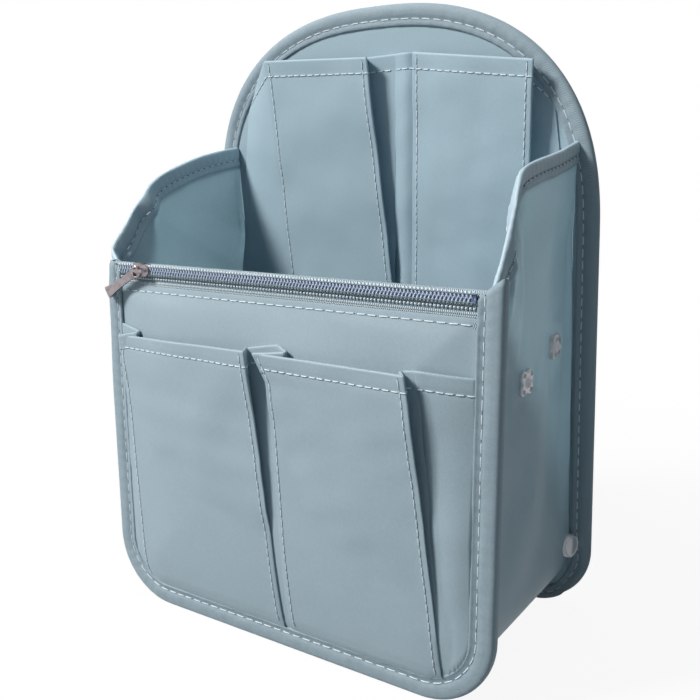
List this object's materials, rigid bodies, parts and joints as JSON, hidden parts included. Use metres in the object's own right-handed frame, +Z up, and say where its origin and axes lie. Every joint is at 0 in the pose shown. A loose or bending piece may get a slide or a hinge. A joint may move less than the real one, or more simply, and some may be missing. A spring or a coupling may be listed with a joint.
{
  "type": "backpack organizer",
  "caption": "Fabric insert for a backpack with an arched stiffened back panel, a low zipped front panel, pleated pockets and a folding gusset.",
  "frame": {"origin": "centre of the base at the floor, midway between the outermost front and back", "axes": "+X to the right seen from the front, +Y to the back panel, +Z up; the low zipped panel faces -Y"},
  "size_m": [0.2166, 0.1238, 0.2921],
  "materials": {
    "cover_cloth": "fine woven polyester with a soft sheen",
    "lining_cloth": "fine woven polyester with a soft sheen",
    "binding_tape": "twill tape",
    "stiffener_board": "smooth",
    "zipper_tape": "ribbed",
    "zipper_coil": "smooth",
    "zipper_metal": "polished",
    "snap_plastic": "smooth"
  },
  "bodies": {
    "root": {"back_binding": "binding_tape", "back_lining": "lining_cloth", "back_outer_cover": "cover_cloth", "back_pocket_left": "cover_cloth", "back_pocket_pen": "cover_cloth", "back_pocket_right": "cover_cloth", "back_stiffener_board": "stiffener_board", "gusset_bottom": "cover_cloth", "gusset_hem_left": "binding_tape", "gusset_hem_right": "binding_tape", "gusset_left": "cover_cloth", "gusset_right": "cover_cloth", "snap_stud_rear_left": "snap_plastic", "snap_stud_rear_right": "snap_plastic"},
    "front_panel": {"front_binding": "binding_tape", "front_lining": "lining_cloth", "front_outer_cover": "cover_cloth", "front_pocket_left": "cover_cloth", "front_pocket_middle": "cover_cloth", "front_pocket_right": "cover_cloth", "front_stiffener_board": "stiffener_board", "zip_pocket_wall": "lining_cloth", "zipper_coil_lower": "zipper_coil", "zipper_coil_upper": "zipper_coil", "zipper_tape_lower": "zipper_tape", "zipper_tape_upper": "zipper_tape"},
    "front_snaps": {"snap_socket_front_left": "snap_plastic", "snap_socket_front_right": "snap_plastic"},
    "middle_snaps": {"snap_stud_middle_left": "snap_plastic", "snap_stud_middle_right": "snap_plastic"},
    "slider": {"zipper_slider": "zipper_metal"},
    "pull": {"zipper_pull": "zipper_metal"}
  },
  "joints": [
    {"name": "front_fold", "type": "slide", "parent": "root", "child": "front_panel", "axis": [0, 1, 0], "range_m": [0, 0.066], "deforming": ["gusset_bottom", "gusset_hem_left", "gusset_hem_right", "gusset_left", "gusset_right"]},
    {"name": "front_snaps_follow", "type": "slide", "parent": "root", "child": "front_snaps", "axis": [0, 1, 0], "range_m": [0, 0.03871]},
    {"name": "middle_snaps_follow", "type": "slide", "parent": "root", "child": "middle_snaps", "axis": [0, 1, 0], "range_m": [0, 0.01317]},
    {"name": "zip_slide", "type": "slide", "parent": "front_panel", "child": "slider", "axis": [1, 0, 0], "range_m": [0, 0.166]},
    {"name": "pull_swing", "type": "hinge", "parent": "slider", "child": "pull", "pos_m": [-0.07912, -0.05319, 0.17036], "axis": [-0.5, 0, 0.866], "range_deg": [0, 135]}
  ],
  "couplings": [
    {"joint": "front_snaps_follow", "follows": "front_fold", "ratio": 0.5865},
    {"joint": "middle_snaps_follow", "follows": "front_fold", "ratio": 0.1995}
  ]
}
